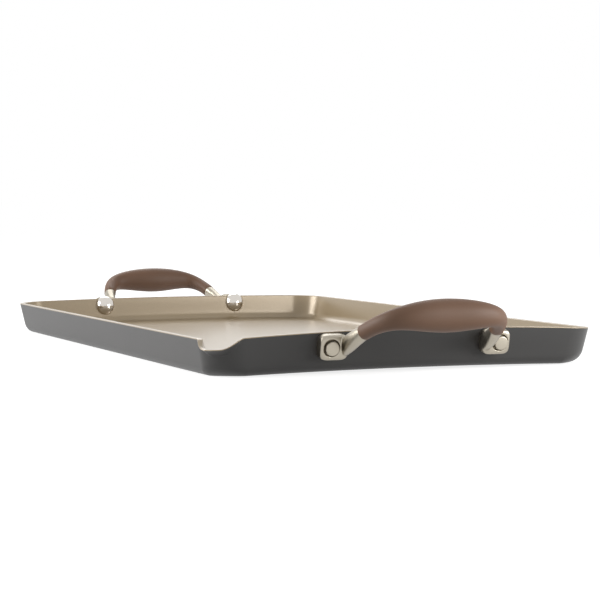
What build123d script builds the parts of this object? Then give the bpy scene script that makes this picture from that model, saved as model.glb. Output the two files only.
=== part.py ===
from build123d import *
import os
from math import cos, pi, radians, sin, tan

# Double burner griddle, in millimetres.
# The origin is the middle of the flat base. +X runs along the pan towards the front handle, +Z is up,
# and the pour spout is in the corner at +X and -Y.

# Pan. The long rims are straight and level. The two short rims rise to a low crown in the middle, which is
# higher at the front and changes evenly along the pan.
RIM_LENGTH = 468.0
RIM_WIDTH = 260.0
WALL_HEIGHT = 22.5
FRONT_CROWN = 4.0
REAR_CROWN = 1.6
WALL_LEAN = 11.4
METAL_THICKNESS = 3.2
COATING_THICKNESS = 0.4
RIM_CORNER_RADIUS = 22.0
FOOT_CORNER_RADIUS = 20.6
OUTER_BOTTOM_RADIUS = 6.6
INNER_BOTTOM_RADIUS = 6.0

# Pour spout. Runs are lengths along the rim from the middle of the corner. The offset moves the spout towards
# the front wall, or, below zero, towards the long wall. The reach is room for cutting.
SPOUT_OFFSET = -0.4
SPOUT_DIP = 5.8
SPOUT_FLARE = 7.6
SPOUT_LEVEL_RUN = 3.4
SPOUT_RUN = 18.0
SPOUT_BLOCK_RUN = 30.0
SPOUT_CREASE_HEIGHT = 10.5
SPOUT_STATIONS = 8
SPOUT_SINK = 0.3
SPOUT_REACH = 45.0

# Rivets, which stand square to the leaning end walls
RIVET_HALF_SPACING = 55.7
RIVET_HEIGHT = 17.5
SHANK_RADIUS = 2.25
DOME_RADIUS = 7.7
DOME_HEIGHT = 6.2
TAIL_RADIUS = 4.3
TAIL_THICKNESS = 4.2
COUNTERBORE_RADIUS = 5.2
COUNTERBORE_DEPTH = 2.2

# Handle feet
FOOT_THICKNESS = 6.5
FOOT_WIDTH = 18.0
FOOT_HEIGHT = 15.4
FOOT_CORNER = 3.4
FOOT_EDGE_RADIUS = 1.0
FOOT_SHIFT = 2.0

# Handle bow: its centre line, as reach beyond the rim, distance from the middle and height
ROOT_POINT = (-6.0, 46.9, 14.6)
ARM_POINT = (5.7, 46.5, 17.9)
GRIP_END_POINT = (23.4, 43.4, 26.3)
SHOULDER_POINT = (41.2, 33.4, 34.2)
MIDDLE_POINT = (43.3, 0.0, 36.2)
ARM_ROOT_HALF_HEIGHT = 5.8
ARM_ROOT_HALF_DEPTH = 2.7
ARM_END_RADIUS = 4.3
BAR_RADIUS = 3.4
GRIP_END_RADIUS = 4.7
GRIP_MIDDLE_HALF_HEIGHT = 9.9
GRIP_MIDDLE_HALF_DEPTH = 9.6
GRIP_SWELL_POWER = 1.18

# How many cross sections shape each arm, and each half of the grip and the bar
ARM_STATIONS = 4
HALF_GRIP_STATIONS = 7

# Room left over when one solid cuts right through another
CUT_MARGIN = 5.0

HALF_LENGTH = RIM_LENGTH / 2
HALF_WIDTH = RIM_WIDTH / 2
WALL_SLOPE = tan(radians(WALL_LEAN))
BLOCK_TOP = WALL_HEIGHT + FRONT_CROWN + CUT_MARGIN


def corner_radius(height):
    """The outer corner radius at a height, which tightens a little towards the rim."""
    return FOOT_CORNER_RADIUS + (RIM_CORNER_RADIUS - FOOT_CORNER_RADIUS) * height / WALL_HEIGHT


def wall_set_in(height):
    """How far the outer wall stands inside the rim's outline at a height."""
    return (WALL_HEIGHT - height) * WALL_SLOPE


def swell(share):
    """Runs from 0 to 1, level at both ends."""
    return share * share * (3 - 2 * share)


def leaning_block(thickness, bottom, edge_radius):
    """A block whose sides follow the leaning walls, a thickness inside them, with its lower edge rounded."""
    inside = thickness / cos(radians(WALL_LEAN))
    sections = []
    for height in (bottom, BLOCK_TOP):
        inset = wall_set_in(height) + inside
        radius = corner_radius(height) - inside
        outline = RectangleRounded(RIM_LENGTH - 2 * inset, RIM_WIDTH - 2 * inset, radius)
        sections.append(Plane.XY.offset(height) * outline)
    block = loft(sections, ruled=True)
    return fillet(block.faces().sort_by(Axis.Z)[0].edges(), edge_radius)


def spout_share(distance):
    """How much of the full spout there is at a distance from its middle: 1 there, 0 at its ends."""
    share = (SPOUT_RUN - abs(distance)) / (SPOUT_RUN - SPOUT_LEVEL_RUN)
    return swell(min(max(share, 0.0), 1.0))


def corner_point(run, height, outwards):
    """A point on the outer corner wall at a run along the rim, moved straight outwards."""
    radius = corner_radius(height)
    inset = wall_set_in(height)
    half_turn = pi / 4
    half_arc = RIM_CORNER_RADIUS * half_turn
    angle = -half_turn + min(max(run / RIM_CORNER_RADIUS, -half_turn), half_turn)
    x = HALF_LENGTH - inset - radius + (radius + outwards) * cos(angle) + min(run + half_arc, 0.0)
    y = -HALF_WIDTH + inset + radius + (radius + outwards) * sin(angle) + max(run - half_arc, 0.0)
    return x, y


def spout_section(height, thickness, spread):
    """The spout block's level outline: the corner wall swollen outwards, closed off inside the pan."""
    inside = thickness / cos(radians(WALL_LEAN)) + SPOUT_SINK
    points = []
    for i in range(-SPOUT_STATIONS, SPOUT_STATIONS + 1):
        run = SPOUT_BLOCK_RUN * i / SPOUT_STATIONS
        share = spout_share(run - SPOUT_OFFSET)
        rise = WALL_HEIGHT - SPOUT_DIP * share - SPOUT_CREASE_HEIGHT
        points.append(corner_point(run, height, spread * SPOUT_FLARE * share / rise - inside))
    (first_x, first_y), (last_x, last_y) = points[0], points[-1]
    edges = [Spline(points), Polyline(points[-1], (first_x, last_y), points[0])]
    return Plane.XY.offset(height) * make_face(edges)


def spout_block(thickness):
    """The flared corner as a filled block, from the crease up, to be joined to a leaning block."""
    low = SPOUT_CREASE_HEIGHT
    foot_section = spout_section(low, thickness, 0.0)
    top_section = spout_section(BLOCK_TOP, thickness, BLOCK_TOP - low)
    return loft([foot_section, top_section], ruled=True)


def rim_crown(along):
    """How far the middle of a section across the pan rises above the long rims, at a place along the pan."""
    return (FRONT_CROWN + REAR_CROWN) / 2 + (FRONT_CROWN - REAR_CROWN) / 2 * along / HALF_LENGTH


def rim_cutter(rim_height):
    """All the air above the rim, whose short sides are crowned."""
    over = rim_height + FRONT_CROWN + 2 * CUT_MARGIN
    reach = HALF_WIDTH + SPOUT_REACH
    sections = []
    for along in (-HALF_LENGTH - SPOUT_REACH, HALF_LENGTH + SPOUT_REACH):
        top = rim_height + rim_crown(along)
        crown = ThreePointArc((-HALF_WIDTH, rim_height), (0, top), (HALF_WIDTH, rim_height))
        right_side = [(HALF_WIDTH, rim_height), (reach, rim_height), (reach, over)]
        rest = Polyline(right_side + [(-y, z) for y, z in reversed(right_side)])
        sections.append(Plane.YZ.offset(along) * make_face([crown, rest]))
    return loft(sections, ruled=True)


def spout_cutter(rim_height):
    """The air above the spout's lip: a smooth dip, run out along the corner's diagonal."""
    diagonal = Vector(1, -1, 0).normalized()
    beside = Vector(1, 1, 0).normalized()
    middle = Vector(HALF_LENGTH, -HALF_WIDTH, 0) + beside * SPOUT_OFFSET
    plane = Plane(origin=middle - diagonal * SPOUT_REACH, x_dir=beside, z_dir=diagonal)
    side = []
    for i in range(SPOUT_STATIONS + 1):
        distance = SPOUT_LEVEL_RUN + (SPOUT_RUN - SPOUT_LEVEL_RUN) * i / SPOUT_STATIONS
        share = spout_share(distance)
        across = (RIM_CORNER_RADIUS + SPOUT_FLARE * share) * sin(distance / RIM_CORNER_RADIUS)
        side.append((across, rim_height - SPOUT_DIP * share))
    other = [(-across, height) for across, height in side]
    over = rim_height + FRONT_CROWN + 2 * CUT_MARGIN
    edges = [
        Line(other[0], side[0]),
        Spline(side, tangents=[(1, 0), (1, 0)]),
        Polyline(side[-1], (side[-1][0], over), (other[-1][0], over), other[-1]),
        Spline(other, tangents=[(-1, 0), (-1, 0)]),
    ]
    return extrude(plane * make_face(edges), amount=2 * SPOUT_REACH)


def filled_pan(rim_height):
    """The pan as if it were solid, up to its rim and the spout's lip."""
    block = leaning_block(0.0, 0.0, OUTER_BOTTOM_RADIUS) + spout_block(0.0)
    return block - rim_cutter(rim_height) - spout_cutter(rim_height)


def hollow(thickness):
    """The space inside walls of the given thickness, with the spout's channel."""
    return leaning_block(thickness, thickness, INNER_BOTTOM_RADIUS) + spout_block(thickness)


def rivet_frame(side):
    """A frame on the front wall's outer face at a rivet: x along the wall, y up it, z out of it."""
    reach = HALF_LENGTH - wall_set_in(RIVET_HEIGHT)
    normal = (cos(radians(WALL_LEAN)), 0, -sin(radians(WALL_LEAN)))
    return Plane(origin=(reach, side * RIVET_HALF_SPACING, RIVET_HEIGHT), x_dir=(0, 1, 0), z_dir=normal)


def post(frame, radius, low, high):
    """A round post about a rivet's axis, between two distances from the wall's outer face."""
    cylinder = Cylinder(radius, high - low, align=(Align.CENTER, Align.CENTER, Align.MIN))
    return frame * (Pos(0, 0, low) * cylinder)


def rivet(frame):
    """A rivet: domed head on the coating, shank through wall and foot, flat tail proud of its recess."""
    seat = -(METAL_THICKNESS + COATING_THICKNESS)
    floor = FOOT_THICKNESS - COUNTERBORE_DEPTH
    curve = (DOME_HEIGHT**2 + DOME_RADIUS**2) / (2 * DOME_HEIGHT)
    ball = Pos(0, 0, seat - DOME_HEIGHT + curve) * Sphere(curve)
    side = 4 * DOME_RADIUS
    keep = Pos(0, 0, seat) * Box(side, side, side, align=(Align.CENTER, Align.CENTER, Align.MAX))
    head = frame * (ball & keep)
    shank = post(frame, SHANK_RADIUS, seat, floor)
    tail = post(frame, TAIL_RADIUS, floor, floor + TAIL_THICKNESS)
    return head + shank + tail


def bow_path():
    """The front handle's centre line, a smooth curve from one foot to the other."""
    points = []
    for reach, across, height in (ROOT_POINT, ARM_POINT, GRIP_END_POINT, SHOULDER_POINT):
        points.append((HALF_LENGTH + reach, -across, height))
    reach, across, height = MIDDLE_POINT
    mirrored = [(x, -y, z) for x, y, z in reversed(points)]
    return Spline(points + [(HALF_LENGTH + reach, across, height)] + mirrored)


def section(path, place, half_height, half_depth):
    """An oval cross section, square to the path, with its tall side upright."""
    along = path % place
    across = Vector(0, 0, 1).cross(along).normalized()
    frame = Plane(origin=path @ place, x_dir=across, z_dir=along)
    return frame * Ellipse(half_depth, half_height)


def grip_end_place(path):
    """How far along the path the grip begins, as a share of its length."""
    reach, across, height = GRIP_END_POINT
    return path.param_at_point((HALF_LENGTH + reach, -across, height))


def grip_places(start):
    """The stations of the grip, evenly along the path, each with its share of the way to the middle."""
    last = 2 * HALF_GRIP_STATIONS - 2
    return [(start + (1 - 2 * start) * i / last, 1 - abs(2 * i / last - 1)) for i in range(last + 1)]


def grip_form(path, start):
    """The outside of the grip: slim at its ends and full in the middle."""
    sections = []
    for place, share in grip_places(start):
        fullness = swell(share**GRIP_SWELL_POWER)
        height = GRIP_END_RADIUS + (GRIP_MIDDLE_HALF_HEIGHT - GRIP_END_RADIUS) * fullness
        depth = GRIP_END_RADIUS + (GRIP_MIDDLE_HALF_DEPTH - GRIP_END_RADIUS) * fullness
        sections.append(section(path, place, height, depth))
    return loft(sections)


def bar_form(path, start):
    """The round bar that carries the grip."""
    return loft([section(path, place, BAR_RADIUS, BAR_RADIUS) for place, share in grip_places(start)])


def arm_form(path, foot_place, grip_place):
    """An arm from its foot up to the grip, deep at the foot and round at the grip."""
    sections = []
    for i in range(ARM_STATIONS):
        share = i / (ARM_STATIONS - 1)
        height = ARM_ROOT_HALF_HEIGHT + (ARM_END_RADIUS - ARM_ROOT_HALF_HEIGHT) * share
        depth = ARM_ROOT_HALF_DEPTH + (ARM_END_RADIUS - ARM_ROOT_HALF_DEPTH) * share
        sections.append(section(path, foot_place + (grip_place - foot_place) * share, height, depth))
    return loft(sections)


def foot(side):
    """A foot plate flat against the wall, with rounded corners and outer edges, before its holes."""
    outline = Pos(-side * FOOT_SHIFT, 0) * RectangleRounded(FOOT_WIDTH, FOOT_HEIGHT, FOOT_CORNER)
    plate = extrude(outline, amount=FOOT_THICKNESS)
    return rivet_frame(side) * fillet(plate.faces().sort_by(Axis.Z)[-1].edges(), FOOT_EDGE_RADIUS)


def handle_casting(path, start, pan_block):
    """Two feet, two arms and the bar between them, as one casting, bored for its rivets."""
    casting = bar_form(path, start)
    casting = casting + arm_form(path, 0.0, start) + arm_form(path, 1.0, 1.0 - start)
    for side in (-1, 1):
        casting = casting + foot(side)
    casting = casting - pan_block
    floor = FOOT_THICKNESS - COUNTERBORE_DEPTH
    for side in (-1, 1):
        frame = rivet_frame(side)
        casting = casting - post(frame, SHANK_RADIUS, -CUT_MARGIN, floor)
        casting = casting - post(frame, COUNTERBORE_RADIUS, floor, FOOT_THICKNESS + CUT_MARGIN)
    return casting


def build():
    """Makes every piece, by node name. The rear handle and rivets are the front ones turned half round."""
    path = bow_path()
    start = grip_end_place(path)
    half_round = Rot(0, 0, 180)
    casting = handle_casting(path, start, leaning_block(0.0, 0.0, OUTER_BOTTOM_RADIUS))
    grip = grip_form(path, start) - bar_form(path, start)
    pieces = {
        "front_handle": casting,
        "rear_handle": half_round * casting,
        "front_grip": grip,
        "rear_grip": half_round * grip,
    }
    metal = filled_pan(WALL_HEIGHT - COATING_THICKNESS) - hollow(METAL_THICKNESS)
    coating = filled_pan(WALL_HEIGHT) - hollow(METAL_THICKNESS + COATING_THICKNESS) - metal
    seat = -(METAL_THICKNESS + COATING_THICKNESS)
    for side, front_name, rear_name in ((-1, "front_left", "rear_right"), (1, "front_right", "rear_left")):
        frame = rivet_frame(side)
        pieces[front_name + "_rivet"] = rivet(frame)
        pieces[rear_name + "_rivet"] = half_round * rivet(frame)
        bore = post(frame, SHANK_RADIUS, seat - CUT_MARGIN, CUT_MARGIN)
        metal = metal - bore - half_round * bore
        coating = coating - bore - half_round * bore
    pieces["pan_body"] = metal
    pieces["nonstick_coating"] = coating
    return pieces


os.makedirs("parts", exist_ok=True)
for node, shape in build().items():
    export_step(shape, "parts/" + node + ".step")
    print(node, len(shape.solids()), "solid,", round(shape.volume), "cubic mm")
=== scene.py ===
from math import cos, radians, sin, tan

import bpy
import numpy as np
from bpy.props import FloatProperty, FloatVectorProperty, PointerProperty
from mathutils import Matrix, Vector


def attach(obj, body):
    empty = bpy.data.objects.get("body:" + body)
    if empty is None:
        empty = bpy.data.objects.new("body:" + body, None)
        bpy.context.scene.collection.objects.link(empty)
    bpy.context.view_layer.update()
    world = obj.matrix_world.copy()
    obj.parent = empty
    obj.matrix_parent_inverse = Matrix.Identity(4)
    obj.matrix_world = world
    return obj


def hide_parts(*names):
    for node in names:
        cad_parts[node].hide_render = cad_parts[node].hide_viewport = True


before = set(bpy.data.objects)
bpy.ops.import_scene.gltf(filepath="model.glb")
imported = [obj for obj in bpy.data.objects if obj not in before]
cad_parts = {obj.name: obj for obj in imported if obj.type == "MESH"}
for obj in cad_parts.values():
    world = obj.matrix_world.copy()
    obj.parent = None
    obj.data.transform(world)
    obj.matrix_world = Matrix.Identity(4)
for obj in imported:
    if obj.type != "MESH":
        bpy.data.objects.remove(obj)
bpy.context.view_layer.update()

bl_info = {
    "name": "Double burner griddle",
    "version": (1, 0, 0),
    "blender": (4, 5, 0),
    "location": "View3D > Sidebar > Griddle",
    "description": "Builds the visible pieces of a two-burner griddle round its packed frame",
    "category": "Add Mesh",
}

# The frame's body, which every built piece is attached to
BODY = "root"
MM = 0.001

# The photograph's viewpoint in metres and radians, and its focal length in pixels of a 600 pixel wide picture
CAMERA_PLACE = (1.277838, -0.498115, 0.10364)
CAMERA_YAW = 2.755373
CAMERA_PITCH = -0.0521
CAMERA_ROLL = -0.003832
FOCAL_PIXELS = 1928.2
PICTURE_PIXELS = 600.0
SENSOR_MM = 36.0

# The soft lamps: name, place, side length in metres, watts and the point that each one faces
LAMPS = (
    ("right_lamp", (0.62, 0.5, 0.12), 0.4, 5.0, (0.25, 0.1, 0.02)),
    ("left_lamp", (-0.5, -1.3, 0.5), 0.9, 20.0, (0.0, 0.0, 0.02)),
    ("back_lamp", (-1.4, 0.3, 1.0), 0.9, 6.0, (0.0, 0.0, 0.02)),
)

# How strongly the white surrounding lights the scene, and how far the floor reaches
WORLD_LEVEL = 0.4
FLOOR_HALF_WIDTH = 40.0

# Where a handle's centre line runs: reach beyond the rim, distance from the middle and height, in millimetres
BOW_POINTS = (
    (-6.0, 46.9, 14.6),
    (5.7, 46.5, 17.9),
    (23.4, 43.4, 26.3),
    (41.2, 33.4, 34.2),
    (43.3, 0.0, 36.2),
)
GRIP_END_INDEX = 2

# The gap that keeps the body's and the coating's faces from lying in one plane
COATING_CLEARANCE = 0.03 * MM
# The rounding of the rim's edges under the coating
UNDER_EDGE_RADIUS = 0.5 * MM
# The wall's inner face starts to flare this far below the fold, and much more softly than the outer face
INNER_FOLD_DROP = 2.5 * MM
INNER_SOFTNESS = 0.4

# The grip's section is a little squarer than an ellipse, and a small lip rounds off each end
GRIP_SQUARENESS = 2.15
GRIP_LIP = 0.7 * MM
GRIP_STATIONS = 72
BORE_CLEARANCE = 0.02 * MM

# How far along the centre line an arm starts, inside its foot
ARM_ROOT = 5.0 * MM

# The plate's rounded shoulder: where it starts below the face, how far it rises, and the share it takes in
SHOULDER_DROP = 1.8 * MM
SHOULDER_RISE = 1.7 * MM
SHOULDER_SHARE = 0.16
# A plate starts just inside the wall, so that no gap shows behind it
PLATE_SUNK = 0.3 * MM

# The voxel size and the smoothing passes that give a casting its fillets
CASTING_VOXEL = 0.32 * MM
FILLET_PASSES = 8

# How far the middle of a rivet's tail stands above its rim
TAIL_CROWN = 0.12 * MM
# How far from the pan's middle the satin tails of the rivets begin, and over what length the polish ends
TAIL_START = 0.2345
TAIL_BLEND = 0.5 * MM


def linear_colour(code):
    """Turns an sRGB hex colour such as #808080 into linear red, green and blue."""
    values = np.array([int(code[i:i + 2], 16) for i in (1, 3, 5)]) / 255
    return tuple(np.where(values <= 0.04045, values / 12.92, ((values + 0.055) / 1.055) ** 2.4))


def size_property(name, description, millimetres):
    """A length that a user can change, with its default given in millimetres."""
    return FloatProperty(
        name=name, description=description, default=millimetres * MM, unit="LENGTH", precision=5
    )


def share_property(name, description, default):
    """A plain number or share that a user can change."""
    return FloatProperty(name=name, description=description, default=default, subtype="FACTOR")


def colour_property(name, description, code):
    """A colour that a user can change, with its default given in hex."""
    return FloatVectorProperty(
        name=name, description=description, default=linear_colour(code), subtype="COLOR", min=0.0, max=1.0
    )


class PanSizes(bpy.types.PropertyGroup):
    """Sizes of the pan body and its coating."""

    rim_length: size_property("Rim length", "Outside length at the rim", 468.0)
    rim_width: size_property("Rim width", "Outside width at the rim", 260.0)
    wall_height: size_property("Wall height", "Height of the long walls", 22.5)
    front_crown: size_property("Front crown", "How much the front rim rises in the middle", 4.0)
    rear_crown: size_property("Rear crown", "How much the rear rim rises in the middle", 1.6)
    end_lift: size_property("End lift", "How much the base and floor rise at the middle of a short end", 1.8)
    lift_half_width: size_property("Lift half width", "How far to each side the end lift reaches", 125.0)
    lift_start: size_property("Lift start", "Distance from the middle where the end lift begins", 140.0)
    lift_whole: size_property("Lift whole", "Distance from the middle where the end lift is whole", 225.0)
    lift_low: size_property("Lift low", "Height up to which the end lift is whole", 6.0)
    wall_lean: FloatProperty(
        name="Wall lean", description="How far the walls lean out", default=radians(11.4), subtype="ANGLE"
    )
    metal_thickness: size_property("Metal thickness", "Thickness of the aluminium", 3.2)
    coating_thickness: size_property("Coating thickness", "Thickness given to the coating", 0.4)
    rim_corner_radius: size_property("Rim corner radius", "Outer corner radius at the rim", 22.0)
    foot_corner_radius: size_property("Foot corner radius", "Outer corner radius at the base", 20.6)
    outer_bottom_radius: size_property("Outer bottom radius", "Rounding of base to wall, outside", 6.6)
    corner_extra_radius: size_property("Corner extra radius", "Extra rounding outside at a corner", 4.2)
    inner_bottom_radius: size_property("Inner bottom radius", "Rounding of floor to wall, inside", 6.0)
    rim_edge_radius: size_property("Rim edge radius", "Rounding of the rim's two edges", 0.55)
    coating_overlap: size_property("Coating overlap", "How far the coating comes down outside the rim", 0.6)


class SpoutSizes(bpy.types.PropertyGroup):
    """Sizes of the pour spout, with runs measured along the rim."""

    dip: size_property("Dip", "How far the lip lies below the rim", 5.8)
    flare: size_property("Flare", "How far the lip stands out beyond the corner", 7.3)
    offset: size_property("Offset", "How far the spout sits from the corner's middle, to the front", -0.4)
    level_run: size_property("Level run", "Half the length of the level lip", 3.4)
    full_run: size_property("Full run", "Half the length of the whole spout", 18.0)
    plain_fold: size_property("Plain fold", "Depth of the rim band where there is no spout", 0.9)
    fold_depth: size_property("Fold depth", "Extra depth of the flared band at the spout's middle", 3.3)
    fold_power: share_property("Fold power", "How soon the band deepens from the spout's ends", 0.4)
    crease_softness: share_property("Crease softness", "How rounded the crease under the band is", 0.07)


class HandleSizes(bpy.types.PropertyGroup):
    """Sizes of the riveted handles and their grips."""

    rivet_half_spacing: size_property("Rivet half spacing", "Half the way between a handle's rivets", 55.7)
    rivet_height: size_property("Rivet height", "Height of a rivet's axis at the wall", 17.5)
    foot_width: size_property("Foot width", "Width of a foot plate", 18.0)
    foot_height: size_property("Foot height", "Height of a foot plate", 15.4)
    foot_thickness: size_property("Foot thickness", "How far a foot plate stands off the wall", 6.5)
    foot_shift: size_property("Foot shift", "How far a plate's middle is inside its rivet", 2.0)
    recess_radius: size_property("Recess radius", "Radius of the recess round a rivet's tail", 5.2)
    recess_depth: size_property("Recess depth", "Depth of the recess round a rivet's tail", 2.2)
    arm_half_height: size_property("Arm half height", "Half the height of an arm at its foot", 5.8)
    arm_half_depth: size_property("Arm half depth", "Half the depth of an arm at its foot", 2.7)
    arm_end_radius: size_property("Arm end radius", "Radius of an arm where the grip begins", 4.3)
    bar_radius: size_property("Bar radius", "Radius of the bar inside the grip", 3.4)
    grip_end_radius: size_property("Grip end radius", "Radius of the grip at its ends", 4.7)
    grip_half_height: size_property("Grip half height", "Half the height of the grip in the middle", 9.9)
    grip_half_depth: size_property("Grip half depth", "Half the depth of the grip in the middle", 9.6)
    swell_power: share_property("Swell power", "How late the grip swells from its ends", 1.18)


class RivetSizes(bpy.types.PropertyGroup):
    """Sizes of the rivets."""

    dome_radius: size_property("Dome radius", "Radius of the domed head's base", 7.7)
    dome_height: size_property("Dome height", "Height of the domed head", 6.2)
    shank_radius: size_property("Shank radius", "Radius of the shank", 2.25)
    tail_radius: size_property("Tail radius", "Radius of the flattened tail", 4.3)
    tail_thickness: size_property("Tail thickness", "Thickness of the flattened tail", 4.2)
    edge_radius: size_property("Edge radius", "Rounding of the tail's edge", 0.6)


class Finishes(bpy.types.PropertyGroup):
    """Colours of the finishes and the stage."""

    anodised: colour_property("Anodised aluminium", "Hard-anodised outside of the pan", "#3d3c3b")
    coating: colour_property("Nonstick coating", "Champagne coating inside the pan", "#98876c")
    stainless: colour_property("Cast stainless", "Satin handle castings", "#a9a294")
    polished: colour_property("Polished stainless", "Polished rivet heads", "#d8d3cc")
    silicone: colour_property("Silicone", "Grips", "#6a4f3d")
    floor: colour_property("Floor", "The floor the griddle stands on", "#b8b8b8")


SETTINGS = {
    "griddle_pan": PanSizes,
    "griddle_spout": SpoutSizes,
    "griddle_handle": HandleSizes,
    "griddle_rivet": RivetSizes,
    "griddle_finish": Finishes,
}


def points_inwards(points, quads, triangles):
    """Whether a closed skin's faces point inwards. Six times its volume is the sum of the scalar triple
    products of its triangles' corners, and that sum is then below zero."""
    corners = np.vstack((quads[:, [0, 1, 2]], quads[:, [0, 2, 3]], triangles))
    a, b, c = (points[corners[:, i]] for i in range(3))
    return np.einsum("ij,ij->", a, np.cross(b, c)) < 0


def surface_mesh(name, grid, close_rows=False, sharp_angle=50.0):
    """A closed piece from a grid of points, rows by stations. Each row is a ring, and each quad joins two
    rows. The rows close on themselves, or else the first and last rows end in a point at their middle."""
    rows, stations = grid.shape[:2]
    points = grid.reshape(-1, 3)
    row_starts = np.arange(rows if close_rows else rows - 1)
    row, station = np.meshgrid(row_starts, np.arange(stations), indexing="ij")
    next_row = (row + 1) % rows
    next_station = (station + 1) % stations
    corners = (
        row * stations + station, row * stations + next_station,
        next_row * stations + next_station, next_row * stations + station,
    )
    quads = np.stack(corners, -1).reshape(-1, 4)
    triangles = np.empty((0, 3), int)
    if not close_rows:
        ring = np.arange(stations)
        following = (ring + 1) % stations
        last = (rows - 1) * stations
        first_pole = np.full(stations, len(points))
        start = np.stack((first_pole, following, ring), -1)
        end = np.stack((last + ring, last + following, first_pole + 1), -1)
        points = np.vstack((points, grid[0].mean(0), grid[-1].mean(0)))
        triangles = np.vstack((start, end))
    if points_inwards(points, quads, triangles):
        quads, triangles = quads[:, ::-1], triangles[:, ::-1]
    corner_points = np.concatenate((quads.ravel(), triangles.ravel()))
    sizes = np.concatenate((np.full(len(quads), 4), np.full(len(triangles), 3)))
    mesh = bpy.data.meshes.new(name)
    mesh.vertices.add(len(points))
    mesh.vertices.foreach_set("co", points.astype(np.float32).ravel())
    mesh.loops.add(len(corner_points))
    mesh.loops.foreach_set("vertex_index", corner_points.astype(np.int32))
    mesh.polygons.add(len(sizes))
    mesh.polygons.foreach_set("loop_start", (np.cumsum(sizes) - sizes).astype(np.int32))
    mesh.update(calc_edges=True)
    mesh.validate()
    mesh.shade_smooth()
    mesh.set_sharp_from_angle(angle=radians(sharp_angle))
    piece = bpy.data.objects.new(name, mesh)
    bpy.context.scene.collection.objects.link(piece)
    return piece


def finish_piece(piece, node, material):
    """Gives a piece its material and puts it in the place of a node of the frame."""
    piece.data.materials.clear()
    piece.data.materials.append(material)
    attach(piece, BODY)
    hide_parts(node)


def smooth_step(share):
    """Runs from 0 to 1, level at both ends: 3 s squared less 2 s cubed."""
    share = np.clip(share, 0.0, 1.0)
    return share * share * (3 - 2 * share)


def soft_ramp(share, softness):
    """Runs from 0 along 0 and then up to 1 at 1, with the bend rounded: a hyperbola between the two lines."""
    bent = (share + np.sqrt(share ** 2 + softness ** 2)) / 2
    return bent / ((1 + np.sqrt(1 + softness ** 2)) / 2)


class PanOutline:
    """The pan's outline: stations once round it, and how high the lip and the fold below it are at each. The
    run is the distance along the rim from the spout's corner, and is far away where the spout can't reach."""

    CORNER_STATIONS = 28
    SPOUT_STATIONS = 110
    SHORT_STATIONS = 64
    LONG_STATIONS = 90
    FAR_AWAY = 1.0

    def __init__(self, pan, spout):
        self.pan, self.spout = pan, spout
        quarter = np.pi / 2
        half_arc = pan.rim_corner_radius * np.pi / 4
        half_short = pan.rim_width / 2 - pan.rim_corner_radius
        half_long = pan.rim_length / 2 - pan.rim_corner_radius
        columns = []
        for k, (corner_x, corner_y) in enumerate(((1, -1), (1, 1), (-1, 1), (-1, -1))):
            at_spout, long_side = k == 0, k % 2 == 1
            count = self.SPOUT_STATIONS if at_spout else self.CORNER_STATIONS
            turn, plain = np.arange(count) / count, np.ones(count)
            angle = quarter * (turn + k - 1)
            run = half_arc * (2 * turn - 1) if at_spout else self.FAR_AWAY * plain
            columns.append(np.stack((corner_x * plain, corner_y * plain, np.cos(angle), np.sin(angle), run)))
            count = self.LONG_STATIONS if long_side else self.SHORT_STATIONS
            share, plain = (1 - np.cos(np.pi * np.arange(count) / count)) / 2, np.ones(count)
            along = 1 - 2 * share
            normal_x, normal_y = round(cos(quarter * k)), round(sin(quarter * k))
            weight_x = corner_x * (along if long_side else plain)
            weight_y = corner_y * (plain if long_side else along)
            run = self.FAR_AWAY * plain
            if k == 0:
                run = half_arc + 2 * share * half_short
            if k == 3:
                run = -half_arc - 2 * (1 - share) * half_long
            columns.append(np.stack((weight_x, weight_y, normal_x * plain, normal_y * plain, run)))
        self.weight_x, self.weight_y, self.normal_x, self.normal_y, self.run = np.concatenate(columns, 1)
        reach = (spout.full_run - np.abs(self.run - spout.offset)) / (spout.full_run - spout.level_run)
        self.spout_share = smooth_step(reach)
        height = np.full(self.run.shape, pan.wall_height)
        rim = self.place(height, 0 * height)
        along, across = rim[..., 0] / (pan.rim_length / 2), rim[..., 1] / (pan.rim_width / 2)
        crown = (pan.front_crown + pan.rear_crown) / 2 + (pan.front_crown - pan.rear_crown) / 2 * along
        arch = crown * np.clip(1 - across ** 2, 0, None)
        self.lip = pan.wall_height + arch - spout.dip * self.spout_share
        self.fold = self.lip - (spout.plain_fold + spout.fold_depth * self.spout_share ** spout.fold_power)

    def set_in(self, height):
        """How far the leaning outer wall stands inside the rim's outline at a height."""
        return (self.pan.wall_height - height) * tan(self.pan.wall_lean)

    def place(self, height, inside):
        """Points at each station, at a height and a level distance inside the outer wall. A straight stretch
        is carried by its weights and a corner by its radius, so a level line is the outline moved inwards."""
        pan = self.pan
        grow = (pan.rim_corner_radius - pan.foot_corner_radius) / pan.wall_height
        radius = pan.foot_corner_radius + grow * height - inside
        inset = self.set_in(height) + inside
        x = self.weight_x * (pan.rim_length / 2 - inset - radius) + radius * self.normal_x
        y = self.weight_y * (pan.rim_width / 2 - inset - radius) + radius * self.normal_y
        return np.stack((x, y, height + 0 * x), -1)

    def flare(self, height, start, softness):
        """How far the wall stands out at a height: nothing below the start, and all the flare at the lip."""
        share = (height - start) / (self.lip - start)
        return self.spout.flare * self.spout_share * soft_ramp(share, softness)


def bottom_arc(pan, thickness, radius, steps):
    """Heights and distances inside the outer wall along the rounding between the floor and a wall's face: an
    arc that turns from facing straight down to facing square out of the leaning wall."""
    lean = pan.wall_lean
    turn = np.linspace(-np.pi / 2, -lean, steps)[:, None]
    height = thickness + radius + radius * np.sin(turn)
    middle = (pan.wall_height - thickness - radius) * tan(lean) + (thickness + radius) / cos(lean)
    inset = middle - radius * np.cos(turn)
    return height, inset - (pan.wall_height - height) * tan(lean)


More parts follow.
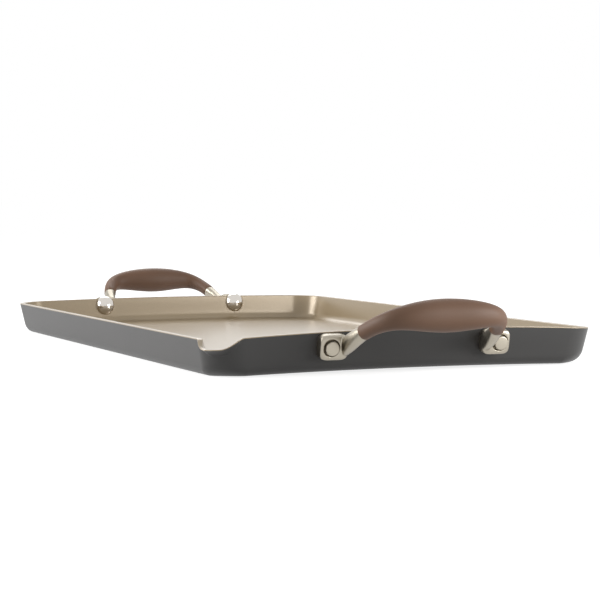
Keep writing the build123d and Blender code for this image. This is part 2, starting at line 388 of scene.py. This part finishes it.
def wall_side(outline, thickness, radius, top, flare_start, softness):
    """Rows of one face of the wall, from the middle of the floor outwards and up to a top height below the
    lip. Level rings grow from near the middle of the floor, then comes the bottom arc, then the wall up to
    the fold, then the band above it. Returns the points, and how far inside the outer wall the last row
    is."""
    pan = outline.pan
    smallest_ring, floor_rows, arc_rows, wall_rows, band_rows = 0.04, 14, 12, 14, 12
    least_band = 0.2 * MM
    radius = np.broadcast_to(radius, outline.run.shape)
    arc_height, arc_inside = bottom_arc(pan, thickness, radius, arc_rows)
    ring = outline.place(arc_height[0], arc_inside[0])
    shares = np.linspace(smallest_ring, 1.0, floor_rows)[:-1, None, None]
    middle = ring.mean(0)
    middle[:2] = 0
    floor = middle + (ring - middle) * shares
    arc = outline.place(arc_height, arc_inside)
    wall_top = np.minimum(flare_start, top - least_band)
    steps = np.linspace(0, 1, wall_rows + 1)[1:, None]
    height = arc_height[-1] + (wall_top - arc_height[-1]) * steps
    steps = np.linspace(0, 1, band_rows + 1)[1:, None]
    height = np.vstack((height, wall_top + (top - wall_top) * steps))
    inside = thickness / cos(pan.wall_lean) - outline.flare(height, flare_start, softness)
    wall = outline.place(height, inside)
    return np.concatenate((floor, arc, wall)), inside[-1]


def rim_cap(outline, outer_inside, inner_inside, lip, radius, rows=8):
    """Rows over the rim, from its outer face to its inner one: a quarter round, a flat, a quarter round."""
    turn = np.linspace(0, np.pi / 2, rows)[:, None]
    rising = lip - radius + radius * np.sin(turn)
    falling = lip - radius + radius * np.cos(turn)
    going_in = outer_inside + radius * (1 - np.cos(turn))
    coming_out = inner_inside - radius * (1 - np.sin(turn))
    return outline.place(np.vstack((rising, falling)), np.vstack((going_in, coming_out)))


def lift_ends(pan, grid):
    """The same points with the base and floor arched up a little at each short end: a parabola across the
    pan, that fades towards the pan's middle and up the walls, so that the rim stays where it is."""
    along, across, height = np.abs(grid[..., 0]), grid[..., 1], grid[..., 2]
    arch = np.clip(1 - (across / pan.lift_half_width) ** 2, 0, None)
    near_end = smooth_step((along - pan.lift_start) / (pan.lift_whole - pan.lift_start))
    up_wall = smooth_step((height - pan.lift_low) / (pan.wall_height - pan.lift_low))
    lifted = grid.copy()
    lifted[..., 2] += pan.end_lift * arch * near_end * (1 - up_wall)
    return lifted


def pan_outline(context):
    """The pan's outline at the sizes set in the scene."""
    return PanOutline(context.scene.griddle_pan, context.scene.griddle_spout)


class GRIDDLE_OT_pan_body(bpy.types.Operator):
    """Builds the hard-anodised pan body."""

    bl_idname = "griddle.pan_body"
    bl_label = "Pan body"

    def execute(self, context):
        pan, outline = context.scene.griddle_pan, pan_outline(context)
        lip, fold, crease = outline.lip, outline.fold, outline.spout.crease_softness
        skin = pan.coating_thickness + COATING_CLEARANCE
        corner = 2 * np.abs(outline.normal_x * outline.normal_y)
        outer_radius = pan.outer_bottom_radius + pan.corner_extra_radius * corner
        top = lip - pan.coating_overlap
        outer, inside = wall_side(outline, 0.0, outer_radius, top, fold, crease)
        step = outline.place(top, inside + skin)
        under_lip = lip - skin - UNDER_EDGE_RADIUS
        inner, inner_inside = wall_side(
            outline, pan.metal_thickness - COATING_CLEARANCE, pan.inner_bottom_radius, under_lip,
            fold - INNER_FOLD_DROP, INNER_SOFTNESS
        )
        outer_inside = skin - outline.flare(under_lip, fold, crease)
        cap = rim_cap(outline, outer_inside, inner_inside, lip - skin, UNDER_EDGE_RADIUS, 4)
        grid = np.concatenate((outer, step[None], cap, inner[::-1]))
        piece = surface_mesh("griddle_body", lift_ends(pan, grid))
        finish_piece(piece, "pan_body", anodised_aluminium(context))
        return {"FINISHED"}


class GRIDDLE_OT_coating(bpy.types.Operator):
    """Builds the nonstick coating over the inside and the rim."""

    bl_idname = "griddle.coating"
    bl_label = "Nonstick coating"

    def execute(self, context):
        pan, outline = context.scene.griddle_pan, pan_outline(context)
        lip, fold, crease = outline.lip, outline.fold, outline.spout.crease_softness
        skin, edge_radius = pan.coating_thickness, pan.rim_edge_radius
        inner_shape = (fold - INNER_FOLD_DROP, INNER_SOFTNESS)
        low = lip - edge_radius
        inner, inside = wall_side(
            outline, pan.metal_thickness + skin, pan.inner_bottom_radius, low, *inner_shape
        )
        cap = rim_cap(outline, -outline.flare(low, fold, crease), inside, lip, edge_radius)
        edge = lip - pan.coating_overlap
        edge_inside = -outline.flare(edge, fold, crease)
        skirt = outline.place(edge, edge_inside)
        under_edge = outline.place(edge, edge_inside + skin)
        under_lip = lip - skin - UNDER_EDGE_RADIUS
        under, under_inside = wall_side(
            outline, pan.metal_thickness, pan.inner_bottom_radius, under_lip, *inner_shape
        )
        under_out = skin - outline.flare(under_lip, fold, crease)
        under_cap = rim_cap(outline, under_out, under_inside, lip - skin, UNDER_EDGE_RADIUS, 4)
        grid = np.concatenate((inner, cap[::-1], skirt[None], under_edge[None], under_cap, under[::-1]))
        piece = surface_mesh("griddle_coating", lift_ends(pan, grid))
        finish_piece(piece, "nonstick_coating", nonstick_coating(context))
        return {"FINISHED"}


def half_round(grid):
    """The same points turned half round about the upright axis, for the rear end."""
    return grid * np.array((-1.0, -1.0, 1.0))


class Bow:
    """A handle's centre line: a natural cubic spline through its points, each coordinate a cubic of the
    length along the line."""

    def __init__(self, pan):
        rim = pan.rim_length / 2
        one_side = [(rim + reach * MM, -across * MM, height * MM) for reach, across, height in BOW_POINTS]
        other_side = [(x, -y, z) for x, y, z in one_side[-2::-1]]
        self.points = np.array(one_side + other_side)
        gaps = np.linalg.norm(np.diff(self.points, axis=0), axis=1)
        self.knots = np.concatenate(([0.0], np.cumsum(gaps)))
        count = len(self.points)
        system = np.eye(count)
        slopes = np.diff(self.points, axis=0) / gaps[:, None]
        middle = np.arange(1, count - 1)
        system[middle, middle - 1] = gaps[:-1]
        system[middle, middle] = 2 * (gaps[:-1] + gaps[1:])
        system[middle, middle + 1] = gaps[1:]
        bend = np.zeros((count, 3))
        bend[1:-1] = 6 * np.diff(slopes, axis=0)
        self.bends = np.linalg.solve(system, bend)
        self.gaps = gaps

    def at(self, length):
        """Points on the line at lengths along it."""
        k = np.clip(np.searchsorted(self.knots, length) - 1, 0, len(self.gaps) - 1)
        gap = self.gaps[k][:, None]
        before = (length - self.knots[k])[:, None]
        after = gap - before
        cubic = (self.bends[k] * after ** 3 + self.bends[k + 1] * before ** 3) / (6 * gap)
        left = (self.points[k] / gap - self.bends[k] * gap / 6) * after
        right = (self.points[k + 1] / gap - self.bends[k + 1] * gap / 6) * before
        return cubic + left + right

    def frames(self, length):
        """Points, and at each a level and a rising direction square to the line."""
        step = 0.01 * MM
        along = self.at(length + step) - self.at(length - step)
        along /= np.linalg.norm(along, axis=1, keepdims=True)
        level = np.cross((0.0, 0.0, 1.0), along)
        level /= np.linalg.norm(level, axis=1, keepdims=True)
        return self.at(length), level, np.cross(along, level)


def superellipse(turn, power):
    """The cosine and sine of a turn, each raised to a power with its sign kept."""
    x, y = np.cos(turn), np.sin(turn)
    return np.sign(x) * np.abs(x) ** power, np.sign(y) * np.abs(y) ** power


def sweep(bow, length, half_depth, half_height, squareness, stations):
    """Rings along the bow. Each is a superellipse with its own half depth and half height. A squareness of 2
    is an ellipse, and more is nearer a rectangle."""
    turn = np.arange(stations) * 2 * np.pi / stations
    middle, level, rising = bow.frames(length)
    power = (2 / np.broadcast_to(squareness, length.shape))[:, None]
    unit_across, unit_upwards = superellipse(turn, power)
    across = unit_across * half_depth[:, None]
    upwards = unit_upwards * half_height[:, None]
    return middle[:, None] + across[..., None] * level[:, None] + upwards[..., None] * rising[:, None]


def grip_outside(handle, share):
    """Half depth and half height of the grip at a share of the way from an end to its middle. Both grow from
    the end radius by a smooth step of the share raised to the swell's power."""
    fullness = smooth_step(share ** handle.swell_power)
    depth = handle.grip_end_radius + (handle.grip_half_depth - handle.grip_end_radius) * fullness
    height = handle.grip_end_radius + (handle.grip_half_height - handle.grip_end_radius) * fullness
    return depth, height


def grip_surface(pan, handle):
    """The front grip: a swollen sleeve along the bow, the bore that holds the bar, and between the two at
    each end a lip that is a quarter round. The lips stand in for the sleeve's outermost rows."""
    bow = Bow(pan)
    start = bow.knots[GRIP_END_INDEX]
    end = bow.knots[-1] - start
    sleeve_rows, lip_rows, bore_rows, rows_left_to_lip = 120, 6, 60, 4
    length = np.linspace(start, end, sleeve_rows)
    depth, height = grip_outside(handle, 1 - np.abs(2 * (length - start) / (end - start) - 1))
    outside = sweep(bow, length, depth, height, GRIP_SQUARENESS, GRIP_STATIONS)
    turn = np.linspace(0, np.pi / 2, lip_rows)
    from_end = GRIP_LIP * (1 - np.sin(turn))
    radius = handle.grip_end_radius - GRIP_LIP * (1 - np.cos(turn))
    first_length, first_radius = (start + from_end)[::-1], radius[::-1]
    first_lip = sweep(bow, first_length, first_radius, first_radius, GRIP_SQUARENESS, GRIP_STATIONS)
    last_lip = sweep(bow, end - from_end, radius, radius, GRIP_SQUARENESS, GRIP_STATIONS)
    bar = np.full(bore_rows, handle.bar_radius + BORE_CLEARANCE)
    bore = sweep(bow, np.linspace(end, start, bore_rows), bar, bar, 2.0, GRIP_STATIONS)
    sleeve = outside[rows_left_to_lip:-rows_left_to_lip]
    return np.concatenate((first_lip[:-1], sleeve, last_lip[1:], bore))


def rivet_frame(pan, handle, side):
    """A frame on the front wall's outer face at a rivet: x along the wall, y up it, z out of it."""
    lean = pan.wall_lean
    reach = pan.rim_length / 2 - (pan.wall_height - handle.rivet_height) * tan(lean)
    place = (reach, side * handle.rivet_half_spacing, handle.rivet_height)
    axes = np.array(((0.0, 1.0, 0.0), (sin(lean), 0.0, cos(lean)), (cos(lean), 0.0, -sin(lean))))
    return np.array(place), axes


def foot_surface(pan, handle, side, stations=96):
    """A foot plate: a superellipse outline that stands off the wall, rounds over, rises by a hair to the rim
    of a round recess about the rivet's axis, and falls into it. Each row is a blend of the plate's outline
    and the recess's circle."""
    turn = np.arange(stations) * 2 * np.pi / stations
    squareness = 4.6
    outline_x, outline_y = superellipse(turn, 2 / squareness)
    outline_x, outline_y = outline_x * handle.foot_width / 2, outline_y * handle.foot_height / 2
    shift = -side * handle.foot_shift
    recess = handle.recess_radius
    face = handle.foot_thickness
    floor = face - handle.recess_depth
    shoulder = face - SHOULDER_DROP
    # How much of a row is the recess's circle, its scale, and its height above the wall
    rows = [(0.0, 0.05, -PLATE_SUNK), (0.0, 1.0, -PLATE_SUNK), (0.0, 1.0, shoulder)]
    for bend in np.radians((20, 45, 70, 90)):
        rows.append((0.0, 1.0 - SHOULDER_SHARE * (1 - cos(bend)), shoulder + SHOULDER_RISE * sin(bend)))
    rows += [(0.0, 0.80, face), (0.5, 0.80, face + 0.1 * MM), (1.0, 1.0, face + 0.05 * MM)]
    rows += [(1.0, 0.985, face - 0.4 * MM), (1.0, 0.97, floor), (1.0, 0.05, floor)]
    circle, scale, height = np.array(rows).T[..., None]
    x = (1 - circle) * (shift + outline_x * scale) + circle * recess * scale * np.cos(turn)
    y = (1 - circle) * outline_y * scale + circle * recess * scale * np.sin(turn)
    place, axes = rivet_frame(pan, handle, side)
    return place + np.stack((x, y, height + 0 * x), -1) @ axes


def bar_surface(pan, handle):
    """The casting's bar: flat deep arms that turn round as they rise, and a thinner bar inside the grip. An
    arm's half sizes and squareness run evenly from its root to its end."""
    bow = Bow(pan)
    whole = bow.knots[-1]
    start = bow.knots[GRIP_END_INDEX]
    arm_end, step_down, bar_start = start + 0.8 * MM, start + 1.0 * MM, start + 1.6 * MM
    arm_rows, bar_rows = 40, 60
    length = np.concatenate((
        np.linspace(ARM_ROOT, arm_end, arm_rows), np.linspace(bar_start, whole - bar_start, bar_rows),
        np.linspace(whole - arm_end, whole - ARM_ROOT, arm_rows),
    ))
    from_end = np.minimum(length, whole - length)
    share = np.clip((from_end - ARM_ROOT) / (start - ARM_ROOT), 0, 1)
    in_grip = from_end > step_down
    depth = handle.arm_half_depth + (handle.arm_end_radius - handle.arm_half_depth) * share
    height = handle.arm_half_height + (handle.arm_end_radius - handle.arm_half_height) * share
    root_squareness, end_squareness = 3.2, 2.3
    squareness = root_squareness - (root_squareness - end_squareness) * share
    depth = np.where(in_grip, handle.bar_radius, depth)
    height = np.where(in_grip, handle.bar_radius, height)
    return sweep(bow, length, depth, height, np.where(in_grip, 2.0, squareness), 64)


def casting(name, grids):
    """Joins closed surfaces into one skin and softens where they meet, as a casting's fillets do."""
    pieces = [surface_mesh(name, grid) for grid in grids]
    with bpy.context.temp_override(active_object=pieces[0], selected_editable_objects=pieces):
        bpy.ops.object.join()
    piece = pieces[0]
    remesh = piece.modifiers.new("one skin", "REMESH")
    remesh.mode = "VOXEL"
    remesh.voxel_size = CASTING_VOXEL
    soften = piece.modifiers.new("fillets", "SMOOTH")
    soften.factor = 0.5
    soften.iterations = FILLET_PASSES
    finished = piece.evaluated_get(bpy.context.evaluated_depsgraph_get())
    mesh = bpy.data.meshes.new_from_object(finished)
    piece.modifiers.clear()
    piece.data = mesh
    piece.data.shade_smooth()
    return piece


class GRIDDLE_OT_handles(bpy.types.Operator):
    """Builds the two handle castings, each with its feet, arms and bar."""

    bl_idname = "griddle.handles"
    bl_label = "Handle castings"

    def execute(self, context):
        pan, handle = context.scene.griddle_pan, context.scene.griddle_handle
        grids = [bar_surface(pan, handle), foot_surface(pan, handle, -1), foot_surface(pan, handle, 1)]
        material = cast_stainless(context)
        finish_piece(casting("front_casting", grids), "front_handle", material)
        turned = [half_round(grid) for grid in grids]
        finish_piece(casting("rear_casting", turned), "rear_handle", material)
        return {"FINISHED"}


class GRIDDLE_OT_grips(bpy.types.Operator):
    """Builds the two silicone grips."""

    bl_idname = "griddle.grips"
    bl_label = "Grips"

    def execute(self, context):
        grid = grip_surface(context.scene.griddle_pan, context.scene.griddle_handle)
        material = moulded_silicone(context)
        front = surface_mesh("front_sleeve", grid, close_rows=True)
        finish_piece(front, "front_grip", material)
        rear = surface_mesh("rear_sleeve", half_round(grid), close_rows=True)
        finish_piece(rear, "rear_grip", material)
        return {"FINISHED"}


def rivet_surface(pan, handle, rivet, side, stations=96):
    """A rivet as a turned form: radius against height above the wall's face, carried round the axis. The head
    is part of a sphere, the shank is straight, and the tail's edge is a quarter round."""
    seat = -(pan.metal_thickness + pan.coating_thickness)
    ball = (rivet.dome_height ** 2 + rivet.dome_radius ** 2) / (2 * rivet.dome_height)
    widest = np.arcsin(rivet.dome_radius / ball)
    turn = np.linspace(0.02, widest, 36)
    dome_radius = ball * np.sin(turn)
    dome_height = seat - rivet.dome_height + ball * (1 - np.cos(turn))
    floor = handle.foot_thickness - handle.recess_depth
    top = floor + rivet.tail_thickness
    round_edge = np.linspace(0, np.pi / 2, 8)
    edge_radius = rivet.tail_radius - rivet.edge_radius * (1 - np.cos(round_edge))
    edge_height = top - rivet.edge_radius * (1 - np.sin(round_edge))
    shank_radius = (rivet.shank_radius, rivet.shank_radius, rivet.tail_radius)
    crown_radius = (rivet.tail_radius * 0.5, rivet.tail_radius * 0.05)
    crown_height = (top + TAIL_CROWN * 0.8, top + TAIL_CROWN)
    radius = np.concatenate((dome_radius, shank_radius, edge_radius, crown_radius))[:, None]
    height = np.concatenate((dome_height, (seat, floor, floor), edge_height, crown_height))[:, None]
    around = np.arange(stations) * 2 * np.pi / stations
    grid = np.stack((radius * np.cos(around), radius * np.sin(around), height + 0 * around), -1)
    place, axes = rivet_frame(pan, handle, side)
    return place + grid @ axes


class GRIDDLE_OT_rivets(bpy.types.Operator):
    """Builds the four rivets."""

    bl_idname = "griddle.rivets"
    bl_label = "Rivets"

    def execute(self, context):
        scene = context.scene
        material = polished_stainless(context)
        for side, front, rear in ((-1, "front_left", "rear_right"), (1, "front_right", "rear_left")):
            grid = rivet_surface(scene.griddle_pan, scene.griddle_handle, scene.griddle_rivet, side)
            for name, points in ((front, grid), (rear, half_round(grid))):
                piece = surface_mesh(name + "_stud", points, sharp_angle=40.0)
                finish_piece(piece, name + "_rivet", material)
        return {"FINISHED"}


def add_node(tree, kind, settings=None, inputs=None):
    """Adds a shader node. Settings are its own properties, and each input is a value or a (node, socket) to
    link."""
    node = tree.nodes.new(kind)
    for name, value in (settings or {}).items():
        setattr(node, name, value)
    for name, value in (inputs or {}).items():
        if isinstance(value, tuple) and isinstance(value[0], bpy.types.Node):
            tree.links.new(value[0].outputs[value[1]], node.inputs[name])
        else:
            node.inputs[name].default_value = value
    return node


def new_material(name):
    """An empty node material and its tree."""
    material = bpy.data.materials.new(name)
    material.use_nodes = True
    material.node_tree.nodes.clear()
    return material, material.node_tree


def per_metre(millimetres):
    """The texture scale that makes a pattern's features this wide."""
    return 1000.0 / millimetres


def shade(colour, factor):
    """A colour made lighter or darker, with a full alpha."""
    return (*(min(channel * factor, 1.0) for channel in colour), 1.0)


def grained_material(name, colour, cloud, tones, grain, gloss, rise, values):
    """A material with two noises, each given as the width of its features in millimetres and its detail. The
    broad cloud runs the colour between two tones. The fine grain raises a bump, given as its strength and its
    height in millimetres. The roughness runs between two values with the noise that the gloss names."""
    material, tree = new_material(name)
    coordinates = add_node(tree, "ShaderNodeTexCoord")
    noises = {
        part: add_node(tree, "ShaderNodeTexNoise", None, {
            "Vector": (coordinates, "Object"), "Scale": per_metre(width), "Detail": detail,
        })
        for part, (width, detail) in (("cloud", cloud), ("grain", grain))
    }
    tone = add_node(tree, "ShaderNodeMix", {"data_type": "RGBA"}, {
        "Factor": (noises["cloud"], "Fac"), "A": shade(colour, tones[0]), "B": shade(colour, tones[1]),
    })
    followed, smoothest, roughest = gloss
    rough = add_node(tree, "ShaderNodeMapRange", None, {
        "Value": (noises[followed], "Fac"), "To Min": smoothest, "To Max": roughest,
    })
    strength, height = rise
    bump = add_node(tree, "ShaderNodeBump", None, {
        "Height": (noises["grain"], "Fac"), "Strength": strength, "Distance": height * MM,
    })
    shader = add_node(tree, "ShaderNodeBsdfPrincipled", None, {
        "Base Color": (tone, "Result"), "Roughness": (rough, "Result"), "Normal": (bump, "Normal"), **values,
    })
    add_node(tree, "ShaderNodeOutputMaterial", None, {"Surface": (shader, "BSDF")})
    return material


def anodised_aluminium(context):
    """Hard-anodised aluminium: a dark grey oxide grown on blasted metal. It looks like satin stone more than
    metal: dark face on, pale at a glancing view, with a fine even grain and faint cloudiness."""
    return grained_material(
        "hard_anodised_aluminium", context.scene.griddle_finish.anodised, cloud=(45, 3.0), tones=(0.88, 1.14),
        grain=(0.5, 2.0), gloss=("grain", 0.36, 0.46), rise=(0.25, 0.02), values={"Specular IOR Level": 0.35},
    )


def nonstick_coating(context):
    """Sprayed champagne nonstick: a hard polymer film full of fine metal flake, smooth and satin, with the
    faint orange peel of a sprayed coat. The flake is drawn coarser than real so that it just shows."""
    material, tree = new_material("sprayed_champagne_nonstick")
    coordinates = add_node(tree, "ShaderNodeTexCoord")
    colour = context.scene.griddle_finish.coating
    flake = add_node(tree, "ShaderNodeTexVoronoi", None, {
        "Vector": (coordinates, "Object"), "Scale": per_metre(0.7),
    })
    tone = add_node(tree, "ShaderNodeMix", {"data_type": "RGBA"}, {
        "Factor": (flake, "Distance"), "A": shade(colour, 1.06), "B": shade(colour, 0.94),
    })
    peel = add_node(tree, "ShaderNodeTexNoise", None, {
        "Vector": (coordinates, "Object"), "Scale": per_metre(2.5), "Detail": 2.0,
    })
    rough = add_node(tree, "ShaderNodeMapRange", None, {
        "Value": (peel, "Fac"), "To Min": 0.26, "To Max": 0.34,
    })
    bump = add_node(tree, "ShaderNodeBump", None, {
        "Height": (peel, "Fac"), "Strength": 0.12, "Distance": 0.02 * MM,
    })
    shader = add_node(tree, "ShaderNodeBsdfPrincipled", None, {
        "Base Color": (tone, "Result"), "Roughness": (rough, "Result"), "Normal": (bump, "Normal"),
        "Metallic": 0.2, "Coat Weight": 0.4, "Coat Roughness": 0.28,
    })
    add_node(tree, "ShaderNodeOutputMaterial", None, {"Surface": (shader, "BSDF")})
    return material


def cast_stainless(context):
    """Cast stainless steel, tumbled to a satin: a warm grey metal with a soft grain and slightly uneven
    gloss."""
    return grained_material(
        "tumbled_cast_stainless", context.scene.griddle_finish.stainless, cloud=(4, 4.0), tones=(0.9, 1.1),
        grain=(0.4, 2.0), gloss=("cloud", 0.28, 0.42), rise=(0.3, 0.02), values={"Metallic": 1.0},
    )


def polished_stainless(context):
    """Polished stainless steel: heads that mirror with the faintest wipe marks, and tails left satin where
    they were pressed flat. The tails are told from the heads by their distance from the pan's middle."""
    material, tree = new_material("polished_stainless")
    coordinates = add_node(tree, "ShaderNodeTexCoord")
    finish = context.scene.griddle_finish
    wipe = add_node(tree, "ShaderNodeTexNoise", None, {
        "Vector": (coordinates, "Object"), "Scale": per_metre(1.5), "Detail": 3.0,
    })
    tone = add_node(tree, "ShaderNodeMix", {"data_type": "RGBA"}, {
        "Factor": (wipe, "Fac"), "A": shade(finish.polished, 0.96), "B": shade(finish.polished, 1.03),
    })
    place = add_node(tree, "ShaderNodeSeparateXYZ", None, {"Vector": (coordinates, "Object")})
    from_middle = add_node(tree, "ShaderNodeMath", {"operation": "ABSOLUTE"}, {0: (place, "X")})
    upset = add_node(tree, "ShaderNodeMapRange", None, {
        "Value": (from_middle, "Value"), "From Min": TAIL_START - TAIL_BLEND, "From Max": TAIL_START,
    })
    mirror = add_node(tree, "ShaderNodeMapRange", None, {
        "Value": (wipe, "Fac"), "To Min": 0.08, "To Max": 0.16,
    })
    satin = add_node(tree, "ShaderNodeMapRange", None, {
        "Value": (wipe, "Fac"), "To Min": 0.34, "To Max": 0.46,
    })
    rough = add_node(tree, "ShaderNodeMix", None, {
        "Factor": (upset, "Result"), "A": (mirror, "Result"), "B": (satin, "Result"),
    })
    both = add_node(tree, "ShaderNodeMix", {"data_type": "RGBA"}, {
        "Factor": (upset, "Result"), "A": (tone, "Result"), "B": shade(finish.stainless, 1.05),
    })
    shader = add_node(tree, "ShaderNodeBsdfPrincipled", None, {
        "Base Color": (both, "Result"), "Roughness": (rough, "Result"), "Metallic": 1.0,
    })
    add_node(tree, "ShaderNodeOutputMaterial", None, {"Surface": (shader, "BSDF")})
    return material


def moulded_silicone(context):
    """Moulded silicone rubber: a matte brown with the fine even grain of a blasted mould, and no mirror
    shine."""
    return grained_material(
        "moulded_silicone", context.scene.griddle_finish.silicone, cloud=(14, 3.0), tones=(0.9, 1.1),
        grain=(0.45, 2.0), gloss=("grain", 0.5, 0.62), rise=(0.3, 0.03), values={"Specular IOR Level": 0.4},
    )


def seen_rays(tree):
    """A value that is 1 for rays from the camera and for those mirrored or passed on by metal and glass."""
    path = add_node(tree, "ShaderNodeLightPath")
    either = add_node(tree, "ShaderNodeMath", {"operation": "MAXIMUM"}, {
        0: (path, "Is Camera Ray"), 1: (path, "Is Glossy Ray"),
    })
    return add_node(tree, "ShaderNodeMath", {"operation": "MAXIMUM"}, {
        0: (either, "Value"), 1: (path, "Is Transmission Ray"),
    })


def white_world(scene, level):
    """A plain white surrounding, with its own lower level for the light that it casts."""
    world = bpy.data.worlds.new("plain_white")
    world.use_nodes = True
    tree = world.node_tree
    tree.nodes.clear()
    white = (1.0, 1.0, 1.0, 1.0)
    casts = add_node(tree, "ShaderNodeBackground", None, {"Color": white, "Strength": level})
    seen = add_node(tree, "ShaderNodeBackground", None, {"Color": white, "Strength": 1.0})
    mix = add_node(tree, "ShaderNodeMixShader", None, {
        0: (seen_rays(tree), "Value"), 1: (casts, "Background"), 2: (seen, "Background"),
    })
    add_node(tree, "ShaderNodeOutputWorld", None, {"Surface": (mix, "Shader")})
    scene.world = world


def white_floor(context, level):
    """A plain pale floor. Seen directly it is lifted so that its unshaded paint comes out just white under a
    surrounding of this level, and the griddle's shadow still darkens it."""
    half = FLOOR_HALF_WIDTH
    corners = [(-half, -half, 0), (half, -half, 0), (half, half, 0), (-half, half, 0)]
    mesh = bpy.data.meshes.new("floor")
    mesh.from_pydata(corners, [], [(0, 1, 2, 3)])
    floor = bpy.data.objects.new("floor", mesh)
    context.scene.collection.objects.link(floor)
    material, tree = new_material("plain_pale_floor")
    colour = (*context.scene.griddle_finish.floor, 1.0)
    paint = add_node(tree, "ShaderNodeBsdfDiffuse", None, {"Color": colour})
    strength = add_node(tree, "ShaderNodeMath", {"operation": "MULTIPLY"}, {
        0: (seen_rays(tree), "Value"), 1: 1.0 - colour[0] * level,
    })
    glow = add_node(tree, "ShaderNodeEmission", None, {
        "Color": (1.0, 1.0, 1.0, 1.0), "Strength": (strength, "Value"),
    })
    both = add_node(tree, "ShaderNodeAddShader", None, {0: (paint, "BSDF"), 1: (glow, "Emission")})
    add_node(tree, "ShaderNodeOutputMaterial", None, {"Surface": (both, "Shader")})
    mesh.materials.append(material)


def soft_lamp(name, place, size, power, target):
    """A square soft lamp that faces its target."""
    light = bpy.data.lights.new(name, "AREA")
    light.size = size
    light.energy = power
    lamp = bpy.data.objects.new(name, light)
    lamp.location = place
    lamp.rotation_euler = (Vector(target) - Vector(place)).to_track_quat("-Z", "Y").to_euler()
    bpy.context.scene.collection.objects.link(lamp)


def photo_camera(scene):
    """The camera at the photograph's place, turned by its yaw, pitch and roll."""
    forward = Vector((
        cos(CAMERA_PITCH) * cos(CAMERA_YAW), cos(CAMERA_PITCH) * sin(CAMERA_YAW), sin(CAMERA_PITCH)
    ))
    right = Vector((sin(CAMERA_YAW), -cos(CAMERA_YAW), 0.0))
    up = right.cross(forward)
    turned_right = right * cos(CAMERA_ROLL) + up * sin(CAMERA_ROLL)
    turned_up = up * cos(CAMERA_ROLL) - right * sin(CAMERA_ROLL)
    data = bpy.data.cameras.new("photo_camera")
    data.sensor_width = SENSOR_MM
    data.lens = FOCAL_PIXELS / PICTURE_PIXELS * SENSOR_MM
    data.clip_start = 0.01
    data.clip_end = 200.0
    camera = bpy.data.objects.new("photo_camera", data)
    turn = Matrix((turned_right, turned_up, -forward)).transposed().to_4x4()
    camera.matrix_world = Matrix.Translation(CAMERA_PLACE) @ turn
    scene.collection.objects.link(camera)
    scene.camera = camera


class GRIDDLE_OT_stage(bpy.types.Operator):
    """Builds the floor, the surrounding, the lamps and the camera."""

    bl_idname = "griddle.stage"
    bl_label = "Stage"

    def execute(self, context):
        scene = context.scene
        photo_camera(scene)
        white_world(scene, WORLD_LEVEL)
        white_floor(context, WORLD_LEVEL)
        for lamp in LAMPS:
            soft_lamp(*lamp)
        scene.view_settings.view_transform = "Standard"
        return {"FINISHED"}


STEPS = (
    GRIDDLE_OT_pan_body, GRIDDLE_OT_coating, GRIDDLE_OT_handles, GRIDDLE_OT_grips, GRIDDLE_OT_rivets,
    GRIDDLE_OT_stage,
)


class GRIDDLE_PT_sidebar(bpy.types.Panel):
    """Lists the griddle's pieces and their sizes in the sidebar."""

    bl_label = "Griddle"
    bl_idname = "GRIDDLE_PT_sidebar"
    bl_space_type = "VIEW_3D"
    bl_region_type = "UI"
    bl_category = "Griddle"

    def draw(self, context):
        for step in STEPS:
            self.layout.operator(step.bl_idname, text=step.bl_label)
        for name in SETTINGS:
            group = getattr(context.scene, name)
            box = self.layout.box()
            for key in group.__annotations__:
                box.prop(group, key)


def register():
    """Registers the settings, the operators and the panel."""
    for name, group in SETTINGS.items():
        bpy.utils.register_class(group)
        setattr(bpy.types.Scene, name, PointerProperty(type=group))
    for step in (*STEPS, GRIDDLE_PT_sidebar):
        bpy.utils.register_class(step)


def unregister():
    """Takes the panel, the operators and the settings out again."""
    for step in (GRIDDLE_PT_sidebar, *reversed(STEPS)):
        bpy.utils.unregister_class(step)
    for name, group in SETTINGS.items():
        delattr(bpy.types.Scene, name)
        bpy.utils.unregister_class(group)


def main():
    """Builds every piece in order."""
    register()
    bpy.ops.griddle.pan_body()
    bpy.ops.griddle.coating()
    bpy.ops.griddle.handles()
    bpy.ops.griddle.grips()
    bpy.ops.griddle.rivets()
    bpy.ops.griddle.stage()


if __name__ == "__main__":
    main()
